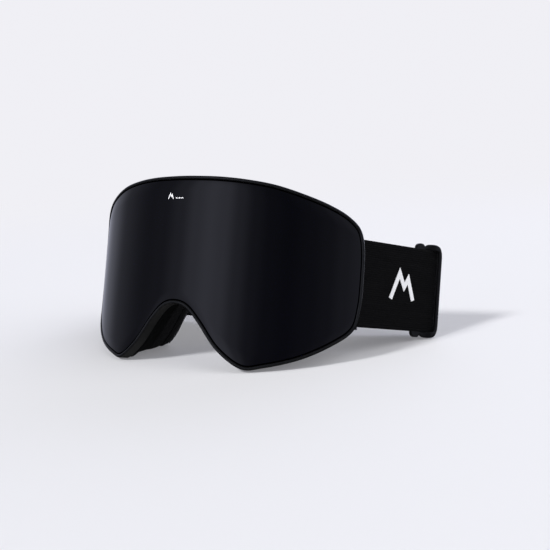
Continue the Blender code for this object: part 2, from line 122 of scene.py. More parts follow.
# Height of each bead at its first and last step, as a share of its full rise
GRIP_FIRST, GRIP_LAST = 0.15, 0.999
STITCH_ROWS = (27.5, 30.5)
STITCHES, STITCH_SPAN, STITCH_HALF = 15, 42.0, 1.05
THREAD_RADIUS = 0.24
SLIDER_START = 35.0
SLIDER_LENGTH = 10.0
SLIDER_HALF_THICK = 1.0
SLIDER_SHOULDER, SLIDER_NECK = 26.3, 24.4
SLIDER_ROUNDS = (3.0, 2.4)
SLIDER_FAR_ROUND_AT = 4.4
SLIDER_WINDOW = (3.5, 7.0, 21.4)
SLIDER_WINDOW_ROUND = 0.8
SLIDER_BAR_LIFT = 1.02
SLIDER_SQUARENESS = 0.6
# The slider's loop: (a, c, n, half width) from the plate to the middle of the far bar, then mirrored
SLIDER_LOOP = [(40.6, 23.7, -2.6, 1.1), (42.2, 23.9, -2.4, 1.1), (43.9, 24.4, -1.6, 1.7),
               (45.4, 24.5, -0.5, 1.8), (47.0, 24.4, 0.9, 1.8), (48.9, 23.9, 1.5, 1.6),
               (50.2, 22.5, 1.5, 1.25), (50.85, 20.0, 1.5, 1.15), (50.95, 16.0, 1.5, 1.12),
               (50.95, 8.0, 1.5, 1.12)]
BADGE_MIDDLE = Vector((23.5, 1.0))
BADGE_LINE_WIDTH = 2.6
BADGE_LEVELS = (0.08, 0.44)
# The generic mark on the strap and the lens: one line over two peaks
PEAKS = [(-8.6, -7.5), (-2.6, 7.0), (1.4, -0.5), (4.2, 4.2), (8.8, -7.5)]
SIDES = ((1, "left"), (-1, "right"))


# ---------------------------------------------------------------- outline

def catmull(p0, p1, p2, p3, t):
    """A smooth curve's point at share t of the way from p1 to p2."""
    return 0.5 * (2 * p1 + (p2 - p0) * t + (2 * p0 - 5 * p1 + 4 * p2 - p3) * t * t
                  + (3 * p1 - p0 - 3 * p2 + p3) * t ** 3)


def closed_outline(top, side, lower):
    """A smooth closed curve through the points of one half and their mirror images."""
    half = top + side + lower
    points = [Vector(p) for p in half + [(-x, z) for x, z in reversed(half[1:-1])]]
    count = len(points)
    return [catmull(*(points[(k + j) % count] for j in (-1, 0, 1, 2)), step / STEPS)
            for k in range(count) for step in range(STEPS)]


OUTLINE = closed_outline(TOP_EDGE, SIDE_POINT, LOWER_EDGE)
OPENING = closed_outline(OPENING_TOP, OPENING_SIDE, OPENING_LOWER)
COUNT = len(OUTLINE)
HALF = COUNT // 2
QUARTER = COUNT // 4
CAD_STEP = STEPS // 2


def ease(value):
    """A smooth rise from 0 to 1."""
    value = min(1.0, max(0.0, value))
    return value * value * (3 - 2 * value)


def inset(distance, recess=0.0):
    """The outline moved inwards, with a further recess where the strap passes at each side."""
    moved = []
    for k, point in enumerate(OUTLINE):
        along = (OUTLINE[(k + 1) % COUNT] - OUTLINE[k - 1]).normalized()
        depth = distance + recess * ease((abs(point.x) - RECESS_START) / RECESS_REACH)
        moved.append(point + Vector((along.y, -along.x)) * depth)
    return moved


def towards_opening(share):
    """The outline moved a share of the way to the face opening."""
    return [a.lerp(b, share) for a, b in zip(OUTLINE, OPENING)]


def on_lens(point, h):
    """A place at depth h behind the cylinder of the lens. The point is (arc length, height)."""
    turn = point.x / LENS_RADIUS
    reach = LENS_RADIUS - h
    return Vector((reach * math.sin(turn), LENS_RADIUS - reach * math.cos(turn), point.y))


def on_face(point, deep):
    """A place at a depth between the lens's cylinder and the curve of the face."""
    front = on_lens(point, 0)
    share = deep / FACE_DEPTH
    face_y = FACE_DEPTH + FACE_CURVE * (front.x / HALF_WIDTH) ** 2
    return Vector((front.x * (1 - FACE_TAPER * share), front.y + share * (face_y - front.y), point.y))


def rounded(corners, steps=3):
    """A section polygon of (u, v, radius) corners with each corner turned into an arc."""
    points = []
    count = len(corners)
    for k, (u, v, radius) in enumerate(corners):
        corner = Vector((u, v))
        before = (Vector(corners[k - 1][:2]) - corner).normalized()
        after = (Vector(corners[(k + 1) % count][:2]) - corner).normalized()
        if radius <= 0:
            points.append((u, v))
            continue
        half = math.acos(max(-1, min(1, before.dot(after)))) / 2
        reach = radius / math.tan(half)
        centre = corner + (before + after).normalized() * radius / math.sin(half)
        start, end = corner + before * reach - centre, corner + after * reach - centre
        for step in range(steps + 1):
            share = step / steps
            turn = start.lerp(end, share).normalized() * radius
            points.append(tuple(centre + turn))
    return points


# ---------------------------------------------------------------- materials

def add_node(tree, kind, inputs=None, **settings):
    """A shader node with its settings. Each input gets a value, or a link from a socket."""
    made = tree.nodes.new("ShaderNode" + kind)
    for key, value in settings.items():
        setattr(made, key, value)
    for key, value in (inputs or {}).items():
        if isinstance(value, bpy.types.NodeSocket):
            tree.links.new(value, made.inputs[key])
        else:
            made.inputs[key].default_value = value
    return made


class Look:
    """A procedural material, with short calls for its nodes. Texture lengths are in millimetres."""

    def __init__(self, name, **sockets):
        self.material = bpy.data.materials.new(name)
        self.material.use_nodes = True
        self.tree = self.material.node_tree
        self.shader = self.tree.nodes["Principled BSDF"]
        for key, value in sockets.items():
            self.shader.inputs[key.replace("_", " ")].default_value = value

    def node(self, kind, inputs=None, **settings):
        return add_node(self.tree, kind, inputs, **settings)

    def place(self):
        """The piece's own place, in millimetres."""
        return self.stretch(self.node("TexCoord").outputs["Object"], (1000, 1000, 1000))

    def cloth(self):
        """Place on the cloth: X along it and Y across it, in millimetres."""
        return self.node("Attribute", attribute_name="cloth").outputs["Vector"]

    def stretch(self, vector, scale):
        return self.node("VectorMath", {0: vector, 1: scale}, operation="MULTIPLY").outputs[0]

    def noise(self, vector, per_mm, detail=3.0, rough=0.55):
        return self.node("TexNoise", {"Vector": vector, "Scale": per_mm, "Detail": detail,
                                      "Roughness": rough}).outputs["Fac"]

    def cells(self, vector, per_mm, feature="F1"):
        cells = self.node("TexVoronoi", {"Vector": vector, "Scale": per_mm}, feature=feature)
        return cells.outputs["Distance"]

    def wave(self, vector, axis, pitch, offset=0.0):
        """A smooth ripple with one crest every pitch millimetres along an axis."""
        parts = self.node("SeparateXYZ", {0: vector}).outputs
        turned = self.math("MULTIPLY_ADD", parts[axis], math.tau / pitch, offset)
        return self.math("MULTIPLY_ADD", self.math("SINE", turned), 0.5, 0.5)

    def math(self, operation, *values):
        return self.node("Math", dict(enumerate(values)), operation=operation).outputs[0]

    def spread(self, value, low, high, to_low=0.0, to_high=1.0):
        return self.node("MapRange", {"Value": value, "From Min": low, "From Max": high,
                                      "To Min": to_low, "To Max": to_high}).outputs[0]

    def colour(self, value, *stops):
        """The base colour, from a ramp between two (position, colour) stops."""
        ramp = self.node("ValToRGB", {"Fac": value})
        for element, (at, colour) in zip(ramp.color_ramp.elements, stops):
            element.position = at
            element.color = (*colour, 1.0)
        self.tree.links.new(ramp.outputs["Color"], self.shader.inputs["Base Color"])

    def roughness(self, value, low, high):
        self.tree.links.new(self.spread(value, 0.25, 0.75, low, high), self.shader.inputs["Roughness"])

    def bump(self, *layers):
        """Each layer is (height socket, distance in millimetres, strength)."""
        normal = None
        for height, distance, strength in layers:
            inputs = {"Height": height, "Distance": distance * 0.001, "Strength": strength}
            if normal:
                inputs["Normal"] = normal
            normal = self.node("Bump", inputs).outputs["Normal"]
        self.tree.links.new(normal, self.shader.inputs["Normal"])


def satin_look(name, dark, light, smoothest, roughest, grain=3.2, gloss=0.4):
    """Moulded plastic: a fine spark-eroded grain, faint flow marks and slightly polished patches."""
    look = Look(name, Specular_IOR_Level=gloss)
    place = look.place()
    patches = look.noise(place, 0.045, 4.0)
    look.colour(look.noise(place, 0.6, 5.0), (0.3, dark), (0.7, light))
    look.roughness(patches, smoothest, roughest)
    look.bump((look.noise(place, grain, 2.0), 0.02, 0.35), (patches, 0.25, 0.08))
    return look.material


def lens_look():
    """Dark mirrored polycarbonate: a nearly black body with the faintest handling haze."""
    look = Look("mirror_lens", IOR=1.5, Specular_IOR_Level=0.5)
    place = look.place()
    haze = look.noise(place, 0.02, 3.0)
    look.colour(haze, (0.3, (0.0001, 0.0001, 0.0009)), (0.7, (0.0002, 0.0002, 0.0013)))
    look.roughness(haze, 0.035, 0.055)
    return look.material


def inner_lens_look():
    """Clear grey acetate with a fog-free coating."""
    look = Look("inner_lens", IOR=1.49, Transmission_Weight=0.35)
    place = look.place()
    haze = look.noise(place, 0.03, 3.0)
    look.colour(haze, (0.3, (0.030, 0.031, 0.034)), (0.7, (0.042, 0.043, 0.047)))
    look.roughness(haze, 0.10, 0.2)
    return look.material


def foam_look(name, dark, light, per_mm=1.5):
    """Open-cell foam: rounded cells with dark pores between them."""
    look = Look(name, Roughness=0.95, Specular_IOR_Level=0.06, Sheen_Weight=0.02, Sheen_Roughness=0.6)
    place = look.place()
    drift = look.node("TexNoise", {"Vector": place, "Scale": 0.9}).outputs["Color"]
    wobble = look.node("VectorMath", {0: place, 1: drift}, operation="ADD").outputs[0]
    pores = look.cells(wobble, per_mm)
    fine = look.noise(place, 4.0, 3.0)
    broad = look.noise(place, 0.08, 3.0)
    look.colour(look.math("MULTIPLY_ADD", broad, 0.5, pores), (0.15, dark), (0.75, light))
    look.bump((pores, 0.35, 0.7), (fine, 0.1, 0.4))
    return look.material


def fleece_look():
    """Brushed fleece: short curled fibres, soft pile direction and worn, flatter patches."""
    look = Look("fleece", Roughness=1.0, Specular_IOR_Level=0.06, Sheen_Weight=0.1,
                Sheen_Roughness=0.5, Sheen_Tint=(0.5, 0.5, 0.52, 1.0))
    place = look.place()
    fibres = look.noise(look.stretch(place, (1.0, 1.0, 2.4)), 2.6, 6.0, 0.75)
    patches = look.noise(place, 0.07, 4.0)
    curls = look.cells(place, 1.1, "SMOOTH_F1")
    look.colour(look.math("MULTIPLY", fibres, look.math("MULTIPLY_ADD", patches, 0.5, 0.75)),
                (0.3, (0.011, 0.011, 0.0116)), (0.75, (0.046, 0.046, 0.048)))
    look.bump((curls, 0.5, 0.5), (fibres, 0.3, 0.8))
    return look.material


def webbing_look(name, dark, light):
    """Elastic webbing: ribs along it, staggered threads across them, and lint that lifts its tone."""
    look = Look(name, Roughness=0.92, Specular_IOR_Level=0.07, Sheen_Weight=0.02,
                Sheen_Roughness=0.45, Sheen_Tint=(0.6, 0.6, 0.62, 1.0))
    cloth = look.cloth()
    drift = look.noise(look.stretch(cloth, (0.05, 0.6, 1.0)), 1.0, 3.0)
    picks = look.wave(cloth, 0, PICK_PITCH)
    offset_picks = look.wave(cloth, 0, PICK_PITCH, math.pi)
    ribs = look.wave(cloth, 1, RIB_PITCH, math.pi / 2)
    pairs = look.wave(cloth, 1, RIB_PITCH * 2)
    crossing = look.node("Mix", {"Factor": look.spread(pairs, 0.4, 0.6), "A": picks, "B": offset_picks})
    weave = look.math("MULTIPLY", crossing.outputs[0], look.spread(ribs, 0.1, 0.9, 0.35, 1.0))
    lint = look.noise(look.stretch(cloth, (1.0, 2.0, 1.0)), 1.3, 5.0, 0.7)
    tone = look.math("MULTIPLY_ADD", drift, 0.3, look.math("MULTIPLY", weave, 0.5))
    tone = look.math("MULTIPLY_ADD", lint, 0.35, tone)
    look.colour(tone, (0.2, dark), (0.85, light))
    look.bump((weave, 0.12, 0.7), (lint, 0.08, 0.4))
    return look.material


def thread_look():
    """Bonded polyester thread with its twist."""
    look = Look("thread", Roughness=0.7, Sheen_Weight=0.2)
    place = look.place()
    twist = look.wave(look.node("VectorRotate", {"Vector": place, "Angle": 0.6}).outputs[0], 1, 0.35)
    look.colour(twist, (0.2, (0.008, 0.008, 0.009)), (0.8, (0.03, 0.03, 0.033)))
    look.bump((twist, 0.08, 0.7))
    return look.material


def mark_look():
    """A raised white silicone print, slightly chalky, with faint greying at handled places."""
    look = Look("white_mark", Specular_IOR_Level=0.4)
    place = look.place()
    handled = look.noise(place, 0.25, 4.0)
    look.colour(handled, (0.25, (0.93, 0.93, 0.94)), (0.6, (0.985, 0.985, 0.99)))
    look.roughness(handled, 0.42, 0.6)
    look.bump((look.noise(place, 2.4, 2.0), 0.03, 0.4))
    return look.material


def silicone_look():
    """Milky printed silicone with dust on it."""
    look = Look("grip_silicone", Transmission_Weight=0.15, IOR=1.41)
    place = look.place()
    dust = look.noise(place, 0.5, 4.0)
    look.colour(dust, (0.3, (0.035, 0.036, 0.039)), (0.7, (0.075, 0.076, 0.08)))
    look.roughness(dust, 0.25, 0.5)
    look.bump((look.noise(place, 1.2, 2.0), 0.04, 0.3))
    return look.material


def steel_look():
    """Nickel-plated magnet: turned marks and small scuffs."""
    look = Look("steel", Metallic=1.0)
    place = look.place()
    scuffs = look.noise(look.stretch(place, (6.0, 1.0, 1.0)), 2.0, 4.0)
    look.colour(scuffs, (0.3, (0.42, 0.41, 0.40)), (0.7, (0.60, 0.59, 0.57)))
    look.roughness(scuffs, 0.22, 0.42)
    look.bump((scuffs, 0.02, 0.3))
    return look.material


RIB_PITCH = 1.15
PICK_PITCH = 0.62
SATIN = satin_look("satin_plastic", (0.0026, 0.0028, 0.0033), (0.0055, 0.0058, 0.0066),
                   0.27, 0.38, gloss=0.5)
SOFT = satin_look("soft_frame", (0.0022, 0.0026, 0.0026), (0.0050, 0.0056, 0.0056),
                  0.5, 0.66, grain=2.2, gloss=0.04)
SLIDER = satin_look("slider_plastic", (0.0016, 0.0016, 0.0019), (0.0040, 0.0040, 0.0045),
                    0.24, 0.36, grain=1.6)
LENS = lens_look()
INNER_LENS = inner_lens_look()
FOAM = foam_look("foam", (0.0008, 0.0008, 0.0009), (0.0055, 0.0055, 0.006))
VENT_FOAM = foam_look("vent_foam", (0.001, 0.001, 0.0012), (0.008, 0.008, 0.0088), per_mm=0.85)
FLEECE = fleece_look()
WEBBING = webbing_look("webbing", (0.0016, 0.0016, 0.0018), (0.0078, 0.0078, 0.0084))
# A copy of the webbing look about twice as light, for the back webbing: painted light, so that the same
# webbing reads brighter from behind
PAINTED_LIGHT_WEBBING = webbing_look("painted_light_webbing", (0.0036, 0.0036, 0.0039), (0.018, 0.018, 0.019))
THREAD = thread_look()
MARK = mark_look()
SILICONE = silicone_look()
STEEL = steel_look()


# ---------------------------------------------------------------- mesh helpers

def new_piece(name, bm, look, smooth=40.0, cloth=None):
    """Make an object from a bmesh in millimetres; cloth gives each vertex its place on the cloth."""
    bmesh.ops.recalc_face_normals(bm, faces=bm.faces)
    mesh = bpy.data.meshes.new(name)
    bm.to_mesh(mesh)
    bm.free()
    mesh.transform(WORLD)
    mesh.shade_smooth()
    mesh.set_sharp_from_angle(angle=math.radians(smooth))
    if cloth:
        data = mesh.attributes.new("cloth", "FLOAT_VECTOR", "POINT")
        data.data.foreach_set("vector", [c for point in cloth for c in point])
    mesh.materials.append(look)
    item = bpy.data.objects.new(name, mesh)
    bpy.context.collection.objects.link(item)
    return item


def stand_for(item, slot, body, *nodes):
    """Give a finished piece its body and hide the CAD nodes that it replaces. The slot is not used."""
    if nodes:
        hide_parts(*nodes)
    if body:
        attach(item, body)


def modify(item, kind, **settings):
    change = item.modifiers.new(kind.lower(), kind)
    for key, value in settings.items():
        setattr(change, key, value)


def bevel(item, width, segments=2, angle=40):
    """Soften the edges that are sharper than an angle. The width is in millimetres."""
    modify(item, "BEVEL", width=width * 0.001, segments=segments, limit_method="ANGLE",
           angle_limit=math.radians(angle))


def apply_all(item):
    """Bake an object's modifiers into its mesh."""
    bpy.context.view_layer.update()
    graph = bpy.context.evaluated_depsgraph_get()
    mesh = bpy.data.meshes.new_from_object(item.evaluated_get(graph))
    item.modifiers.clear()
    old = item.data
    item.data = mesh
    bpy.data.meshes.remove(old)


def rings_mesh(rings, closed=True):
    """Quads between rings of equal length; the last ring joins the first, or both get a cap."""
    bm = bmesh.new()
    rows = [[bm.verts.new(p) for p in ring] for ring in rings]
    after_rows = rows[1:] + rows[:1] if closed else rows[1:]
    for row, after in zip(rows, after_rows):
        for k in range(len(row)):
            n = (k + 1) % len(row)
            bm.faces.new((row[k], row[n], after[n], after[k]))
    if not closed:
        for row in (rows[0], rows[-1]):
            bm.faces.new(row)
    return bm


def fuzz(bm, amount, per_mm, octaves=3):
    """Move each vertex a little along its normal, by smooth noise that depends only on its place."""
    bm.normal_update()
    moved = [(v, v.normal * amount * noise.fractal(v.co * per_mm, 0.6, 2.0, octaves)) for v in bm.verts]
    for vertex, shift in moved:
        vertex.co += shift


def plate_mesh(section, rows=14):
    """A plate that fills the outline: section runs from the front face's edge round to the back's."""
    bm = bmesh.new()
    levels = []
    for d, h in section:
        edge = inset(d)
        levels.append([bm.verts.new(on_lens(edge[k % COUNT], h))
                       for k in range(-QUARTER, 3 * QUARTER)])
    for level, after in zip(levels, levels[1:]):
        for k in range(COUNT):
            n = (k + 1) % COUNT
            bm.faces.new((level[k], level[n], after[n], after[k]))
    for (d, h), level in ((section[0], levels[0]), (section[-1], levels[-1])):
        edge = inset(d)
        columns = []
        for k in range(-QUARTER, QUARTER + 1):
            first = level[k + QUARTER]
            last = level[(HALF - k + QUARTER) % COUNT]
            upper, lower = edge[k % COUNT], edge[(HALF - k) % COUNT]
            if first is last:
                columns.append([first] * (rows + 1))
                continue
            inner = [bm.verts.new(on_lens(upper.lerp(lower, r / rows), h)) for r in range(1, rows)]
            columns.append([first, *inner, last])
        for left, right in zip(columns, columns[1:]):
            for r in range(rows):
                corners = list(dict.fromkeys((left[r], right[r], right[r + 1], left[r + 1])))
                if len(corners) > 2:
                    bm.faces.new(corners)
    return bm


def prism(outline, place, low, high):
    """A solid between two levels: place(a, b, level) puts each point of the outline."""
    bm = bmesh.new()
    ends = [[bm.verts.new(place(a, b, c)) for a, b in outline] for c in (low, high)]
    for k in range(len(outline)):
        n = (k + 1) % len(outline)
        bm.faces.new((ends[0][k], ends[0][n], ends[1][n], ends[1][k]))
    bm.faces.new(ends[0])
    bm.faces.new(ends[1])
    bm.normal_update()
    bmesh.ops.triangulate(bm, faces=[f for f in bm.faces if len(f.verts) > 4])
    return bm


def join(*parts):
    """One bmesh that holds several."""
    whole = bmesh.new()
    for part in parts:
        mesh = bpy.data.meshes.new("part")
        part.to_mesh(mesh)
        part.free()
        whole.from_mesh(mesh)
        bpy.data.meshes.remove(mesh)
    return whole


def mould(item, voxel, rounds):
    """Melt overlapping solids into one with softly rounded edges. The voxel is in millimetres."""
    modify(item, "REMESH", mode="VOXEL", voxel_size=voxel * 0.001, use_smooth_shade=True)
    modify(item, "SMOOTH", factor=0.5, iterations=rounds)
    apply_all(item)
    item.data.shade_smooth()


def lens_ring(section):
    """A ring along the outline from a section of (distance inwards, depth) points."""
    return rings_mesh([[on_lens(p, h) for p in inset(d)] for d, h in section])


# ---------------------------------------------------------------- frame

def build_rim():
    """The narrow ring round the lens, with a groove between the two."""
    section = rounded([(0.0, RIM_FRONT, 0.95), (RIM_WIDTH, RIM_FRONT, 0.7),
                       (RIM_WIDTH, RIM_BACK, 0.25), (0.0, RIM_BACK, 0.6)], 5)
    rim = new_piece("rim", lens_ring(section), SATIN, smooth=60)
    stand_for(rim, "satin_plastic", "frame", "front_rim")


def build_frame_body():
    """The soft frame: flanges in front and behind, a wall between them, and vents cut through it."""
    front_edge, face_edge = towards_opening(FRONT_LEDGE), towards_opening(FACE_LEDGE)
    rings = [
        [on_lens(p, FLANGE_FRONT) for p in inset(FLANGE_EDGE)],
        [on_lens(p, FLANGE_FRONT) for p in front_edge],
        [on_lens(p, FLANGE_BACK) for p in front_edge],
        [on_lens(p, FLANGE_BACK) for p in inset(WALL_FRONT_IN, SIDE_RECESS)],
        [on_face(p, FACE_FLANGE_FRONT) for p in inset(WALL_BACK_IN, FOAM_RECESS)],
        [on_face(p, FACE_FLANGE_FRONT) for p in face_edge],
        [on_face(p, FACE_FLANGE_BACK) for p in face_edge],
        [on_face(p, FACE_FLANGE_BACK) for p in inset(WALL_BACK_OUT, FOAM_RECESS)],
        [on_lens(p, FLANGE_BACK) for p in inset(WALL_FRONT_OUT, SIDE_RECESS)],
        [on_lens(p, FLANGE_BACK) for p in inset(FLANGE_EDGE)],
    ]
    body = new_piece("frame_body", rings_mesh(rings), SOFT, smooth=35)
    tools = [vent_tool(side * step * CAD_STEP)
             for step in TOP_VENTS + LOWER_VENTS for side in (1, -1)]
    tool = new_piece("vent_tool", join(*tools), SOFT)
    modify(body, "BOOLEAN", operation="DIFFERENCE", solver="EXACT", object=tool)
    bevel(body, 0.45, angle=38)
    apply_all(body)
    bpy.data.objects.remove(tool, do_unlink=True)
    body.data.shade_smooth()
    body.data.set_sharp_from_angle(angle=math.radians(40))
    stand_for(body, "soft_frame", "frame", "frame_shell")


def vent_tool(step):
    """A rounded upright block that cuts one vent through the frame's wall."""
    centre = on_face(OUTLINE[step % COUNT], VENT_DEPTH)
    bm = bmesh.new()
    bmesh.ops.create_cube(bm, size=1.0)
    bmesh.ops.scale(bm, vec=VENT_SIZE, verts=bm.verts)
    upright = [e for e in bm.edges if abs(e.verts[0].co.z - e.verts[1].co.z) > 1]
    bmesh.ops.bevel(bm, geom=upright, offset=VENT_CORNER, segments=6, profile=0.5, affect="EDGES")
    turn = OUTLINE[step % COUNT].x / LENS_RADIUS
    bm.transform(Matrix.Translation(centre) @ Matrix.Rotation(turn, 4, "Z"))
    return bm


def build_vent_foam():
    """Strips of coarse foam behind the vents."""
    (front_edge, front_depth), (back_edge, back_depth) = VENT_PAD_FRONT, VENT_PAD_BACK
    front_outer, front_inner = inset(front_edge), inset(front_edge + VENT_PAD_THICK)
    back_outer, back_inner = inset(back_edge), inset(back_edge + VENT_PAD_THICK)
    corners = [(0.0, 0.0), (VENT_PAD_THICK, 0.0), (VENT_PAD_THICK, VENT_PAD_DEPTH), (0.0, VENT_PAD_DEPTH)]
    section = rounded([(u, v, VENT_PAD_ROUND) for u, v in corners], 2)

    def point(k, u, v):
        inwards = u / VENT_PAD_THICK
        front = on_lens(front_outer[k].lerp(front_inner[k], inwards), front_depth)
        back = on_face(back_outer[k].lerp(back_inner[k], inwards), back_depth)
        return front.lerp(back, v / VENT_PAD_DEPTH)

    for name, first, last in VENT_PADS:
        cuts = [[point(k % COUNT, u, v) for u, v in section]
                for k in range(first * CAD_STEP, last * CAD_STEP + 1)]
        bm = rings_mesh(cuts, closed=False)
        fuzz(bm, 0.12, 0.9)
        piece = new_piece(f"vent_pad_{name}", bm, VENT_FOAM, smooth=80)
        stand_for(piece, "foam", "frame", f"vent_foam_{name}")


def foam_layer(name, node, corners, look, slot, lumps):
    """A ring of face foam. Corners are (side, reach, depth, radius), with 0 outside and 1 inside."""
    section = rounded([(reach if side == 0 else FOAM_WIDTH - reach, depth, radius)
                       for side, reach, depth, radius in corners], 4)
    rings = []
    for u, deep in section:
        share = (deep - FACE_FLANGE_BACK) / (FACE_DEPTH - FACE_FLANGE_BACK)
        outer = inset(5.0 + 4.0 * share, FOAM_RECESS * (1 - 0.8 * share))
        inner = towards_opening(1.0 - 0.04 * share)
        ring = []
        for a, b in zip(outer, inner):
            across = b - a
            reach = u if u < FOAM_WIDTH / 2 else across.length - (FOAM_WIDTH - u)
            ring.append(on_face(a + across.normalized() * reach, deep))
        rings.append(ring)
    bm = rings_mesh(rings)
    fuzz(bm, *lumps)
    piece = new_piece(name, bm, look, smooth=80)
    stand_for(piece, slot, "frame", node)


def build_face_foam():
    """Firm foam, soft foam and fleece, one behind the other, round the face opening."""
    base = [(0, 0.0, 19.25, 0.9), (0, -0.35, 22.5, 6), (0, -0.35, 26.0, 6), (0, 0.1, 29.1, 1.0),
            (1, 0.1, 29.1, 1.0), (1, -0.4, 26.0, 6), (1, -0.4, 22.5, 6), (1, 0.0, 19.25, 0.9)]
    soft = [(0, 0.0, 29.2, 0.8), (0, -0.45, 31.7, 2.5), (0, 0.1, 34.3, 0.8),
            (1, 0.1, 34.3, 0.8), (1, -0.5, 31.7, 2.5), (1, 0.0, 29.2, 0.8)]
    fleece = [(0, 0.1, 34.35, 0.3), (0, 0.0, 35.6, 0.7), (0, 2.2, 36.35, 2.0), (0, 4.6, 36.6, 3.0),
              (1, 4.6, 36.6, 3.0), (1, 2.2, 36.35, 2.0), (1, 0.0, 35.6, 0.7), (1, 0.1, 34.35, 0.3)]
    foam_layer("foam_base_pad", "face_foam_base", base, FOAM, "foam", (0.16, 0.35))
    foam_layer("foam_soft_pad", "face_foam_soft", soft, FOAM, "foam", (0.2, 0.3))
    foam_layer("fleece_pad", "face_fleece", fleece, FLEECE, "fleece", (0.28, 0.22, 4))


# ---------------------------------------------------------------- lens

def build_lens():
    """The outer lens, and behind it the inner one with its carrier ring and gasket."""
    rounding = [(0.38, 0.0), (0.2, 0.05), (0.06, 0.17), (0.0, 0.4),
                (0.0, 1.5), (0.08, 1.72), (0.28, 1.8)]
    edge = [(LENS_EDGE + inwards, behind) for inwards, behind in rounding]
    lens = new_piece("outer_lens", plate_mesh(edge), LENS, smooth=50)
    stand_for(lens, "mirror_lens", "lens", "lens_outer")
    edge = [(6.75, 4.6), (6.62, 4.7), (6.6, 4.9), (6.6, 5.2), (6.75, 5.4)]
    inner = new_piece("inner_lens", plate_mesh(edge), INNER_LENS, smooth=50)
    stand_for(inner, "inner_lens", "lens", "lens_inner")
    carrier = rounded([(3.0, 2.1, 0.25), (6.2, 2.1, 0.25), (6.2, 3.1, 0.3), (3.0, 3.1, 0.3)])
    ring = new_piece("lens_carrier_ring", lens_ring(carrier), SATIN, smooth=50)
    stand_for(ring, "satin_plastic", "lens", "lens_carrier")
    gasket = rounded([(6.6, 2.1, 0.4), (9.4, 2.1, 0.4), (9.4, 4.3, 0.7), (6.6, 4.3, 0.7)])
    bm = lens_ring(gasket)
    fuzz(bm, 0.06, 0.9)
    piece = new_piece("lens_gasket_foam", bm, FOAM, smooth=60)
    stand_for(piece, "foam", "lens", "lens_gasket")


def outline_of_line(line, width):
    """The outline of a bent line of even width, with square ends and pointed corners."""
    points = [Vector(p) for p in line]
    sides = ([], [])
    for k, point in enumerate(points):
        before = (point - points[k - 1]).normalized() if k else None
        after = (points[k + 1] - point).normalized() if k < len(points) - 1 else before
        before = before or after
        along = (before + after).normalized()
        reach = Vector((-along.y, along.x)) * width / 2 / along.dot(after)
        sides[0].append(tuple(point + reach))
        sides[1].append(tuple(point - reach))
    return sides[0] + sides[1][::-1]


def build_lens_print():
    """A tiny generic print at the top of the lens: the twin-peak line and three dashes."""
    def place(x, z, h):
        return on_lens(Vector((x, z)), h)

    inside, outside = 0.05, -0.03
    small = [(-8.2 + x * 0.2, 89.0 + z * 0.2) for x, z in PEAKS]
    parts = [prism(outline_of_line(small, 0.55), place, inside, outside)]
    for x in (-4.6, -2.7, -0.8):
        dash = [(x, 87.7), (x + 1.2, 87.7), (x + 1.2, 88.3), (x, 88.3)]
        parts.append(prism(dash, place, inside, outside))
    lens_print = new_piece("lens_print", join(*parts), MARK, smooth=30)
    stand_for(lens_print, "white_mark", "lens")


# ---------------------------------------------------------------- strap

def strap_place(side):
    """A function that turns the strap's own axes on one side into the goggles' axes."""
    along = Vector((math.sin(STRAP_FLARE), math.cos(STRAP_FLARE)))
    out = Vector((along.y, -along.x))

    def place(a, n, c):
        flat = STRAP_START + along * a + out * n
        return Vector((side * flat.x, flat.y, c))

    return place


def arc(centre, radius, start, end, steps):
    """Points of an arc from one angle to another, in degrees."""
    angles = [math.radians(start + (end - start) * k / steps) for k in range(steps + 1)]
    return [Vector(centre) + radius * Vector((math.cos(angle), math.sin(angle))) for angle in angles]


def even_path(points, step):
    """The same polyline with points about a step apart."""
    path = [points[0]]
    for start, end in zip(points, points[1:]):
        parts = max(1, round((end - start).length / step))
        path += [start.lerp(end, k / parts) for k in range(1, parts + 1)]
    return path


def webbing_section():
    """(out, across) points of the section: ribbed faces, and an edge band beyond a groove."""
    half, thick = STRAP_WIDTH / 2, STRAP_THICK / 2
    faces = []
    samples = 156
    for k in range(samples + 1):
        across = -half + WEBBING_ROUND + (STRAP_WIDTH - 2 * WEBBING_ROUND) * k / samples
        edge = half - abs(across)
        rib = RIB_HEIGHT * math.cos(math.tau * across / RIB_PITCH) if edge > SELVEDGE else 0.0
        groove = -SELVEDGE_GROOVE * math.exp(-((edge - SELVEDGE) / 0.22) ** 2)
        roll = -0.3 * max(0.0, 1 - edge / 0.9) ** 2
        faces.append((across, thick - RIB_HEIGHT + rib + groove + roll))
    front = [(n, across) for across, n in faces]
    back = [(-n, across) for across, n in reversed(faces)]
    return front + [(0.28, half), (-0.28, half)] + back + [(-0.28, -half), (0.28, -half)]


def webbing(name, path, place, look=WEBBING):
    """Webbing along a 2-D path: place(x, y, c) puts a path point at a height across the webbing."""
    section = webbing_section()
    cuts, cloth, reach = [], [], 0.0
    for k, point in enumerate(path):
        before, after = path[max(k - 1, 0)], path[min(k + 1, len(path) - 1)]
        along = (after - before).normalized()
        side = Vector((-along.y, along.x))
        if k:
            reach += (point - path[k - 1]).length
        cut = []
        for n, c in section:
            wave = 0.05 * noise.noise(Vector((reach * 0.06, c * 0.04, 3.7)))
            flat = point + side * (n + wave)
            cut.append(place(flat.x, flat.y, STRAP_MIDDLE + c))
            cloth.append((reach, c, n))
        cuts.append(cut)
    return new_piece(name, rings_mesh(cuts, closed=False), look, smooth=70, cloth=cloth)


def front_path():
    """From the sewn end, round the anchor's bar, out over the slider and into the strap's turn."""
    loop = arc((STRAP_BAR_AT, BAR_N), (OUTER_N - INNER_N) / 2, 90, 270, 20)
    turn_centre = (STRAP_TURN_AT, OUTER_N + STRAP_RISE[-1][1] - STRAP_TURN_RADIUS)
    path = [Vector((INNER_LAYER_END, INNER_N))] + loop[::-1]
    path += [Vector((a, OUTER_N + rise)) for a, rise in STRAP_RISE]
    return path + arc(turn_centre, STRAP_TURN_RADIUS, 90, -26, 14)


